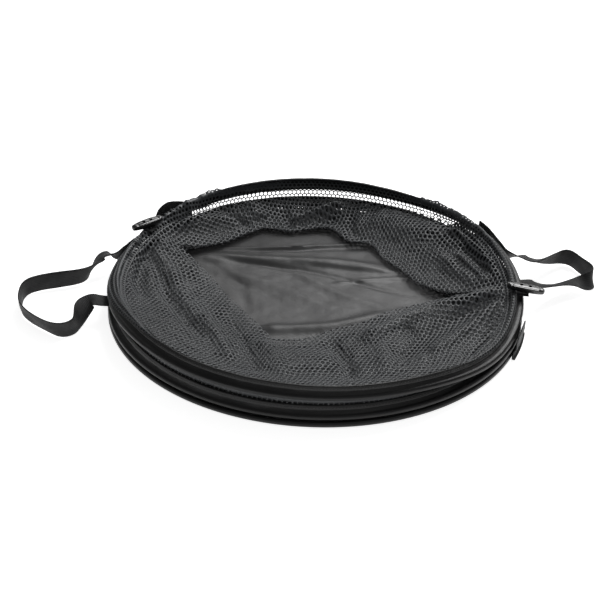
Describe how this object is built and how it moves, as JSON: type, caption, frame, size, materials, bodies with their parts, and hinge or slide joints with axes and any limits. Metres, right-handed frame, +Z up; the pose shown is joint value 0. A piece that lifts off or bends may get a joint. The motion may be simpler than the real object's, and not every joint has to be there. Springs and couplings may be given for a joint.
{
  "type": "folding net trap",
  "caption": "Round collapsible net basket trap with solid cloth floor, spring hoops, folded mesh walls, webbing handles and toggles, stored collapsed.",
  "frame": {"origin": "centre of the floor panel's underside, on the surface the trap lies on", "axes": "+X towards the right-hand handle, +Y towards the rear, +Z up out of the mouth"},
  "size_m": [0.7908, 0.5604, 0.0595],
  "materials": {
    "floor_cloth": "semi-gloss coated cloth, creased",
    "casing_cloth": "smooth coated cloth with a soft sheen",
    "seam_tape": "matt binding tape",
    "open_mesh": "knitted mesh with round holes",
    "webbing": "woven polypropylene webbing",
    "toggle_plastic": "moulded, satin to glossy",
    "toggle_cord": "round elastic cord",
    "spring_wire": "plain drawn wire",
    "ferrule_metal": "crimped sleeve"
  },
  "bodies": {
    "base": {"floor_panel": "floor_cloth", "base_hoop_wire": "spring_wire", "base_hoop_ferrule": "ferrule_metal", "base_hoop_casing": "casing_cloth", "base_seam_tape": "seam_tape", "lower_mesh_wall": "open_mesh", "left_closure_tab": "webbing", "right_closure_tab": "webbing"},
    "mid_hoop": {"mid_hoop_wire": "spring_wire", "mid_hoop_ferrule": "ferrule_metal", "mid_hoop_casing": "casing_cloth", "mid_seam_tape": "seam_tape", "upper_mesh_wall": "open_mesh"},
    "top_hoop": {"top_hoop_wire": "spring_wire", "top_hoop_ferrule": "ferrule_metal", "top_hoop_casing": "casing_cloth", "rim_binding": "seam_tape", "left_handle_tab_rear": "webbing", "left_handle_tab_front": "webbing", "right_handle_tab_rear": "webbing", "right_handle_tab_front": "webbing", "left_toggle_tab": "webbing", "right_toggle_tab": "webbing"},
    "left_handle": {"left_handle_strap": "webbing"},
    "right_handle": {"right_handle_strap": "webbing"},
    "left_toggle": {"left_toggle": "toggle_plastic", "left_toggle_cord": "toggle_cord"},
    "right_toggle": {"right_toggle": "toggle_plastic", "right_toggle_cord": "toggle_cord"},
    "left_closure": {"left_closure_flap": "webbing"},
    "right_closure": {"right_closure_flap": "webbing"}
  },
  "joints": [
    {"name": "mid_lift", "type": "slide", "parent": "base", "child": "mid_hoop", "axis": [0, 0, 1], "range_m": [0, 0.22], "deforming": ["lower_mesh_wall"]},
    {"name": "top_lift", "type": "slide", "parent": "mid_hoop", "child": "top_hoop", "axis": [0, 0, 1], "range_m": [0, 0.22], "deforming": ["upper_mesh_wall"]},
    {"name": "left_handle_swing", "type": "hinge", "parent": "top_hoop", "child": "left_handle", "pos_m": [-0.29, 0, 0.03], "axis": [0, 1, 0], "range_deg": [-20, 120]},
    {"name": "right_handle_swing", "type": "hinge", "parent": "top_hoop", "child": "right_handle", "pos_m": [0.29, 0, 0.035], "axis": [0, -1, 0], "range_deg": [-20, 120]},
    {"name": "left_toggle_turn", "type": "hinge", "parent": "top_hoop", "child": "left_toggle", "pos_m": [-0.242, 0.122, 0.0552], "axis": [0, 0, 1], "range_deg": [-80, 10]},
    {"name": "right_toggle_turn", "type": "hinge", "parent": "top_hoop", "child": "right_toggle", "pos_m": [0.281, -0.013, 0.0524], "axis": [0, 0, 1], "range_deg": [-60, 60]},
    {"name": "left_closure_swing", "type": "hinge", "parent": "base", "child": "left_closure", "pos_m": [-0.21416, 0.18881, 0.01], "axis": [-0.6613, -0.7501, 0], "range_deg": [0, 110]},
    {"name": "right_closure_swing", "type": "hinge", "parent": "base", "child": "right_closure", "pos_m": [0.27329, -0.07836, 0.01], "axis": [0.2756, 0.9613, 0], "range_deg": [0, 110]}
  ]
}
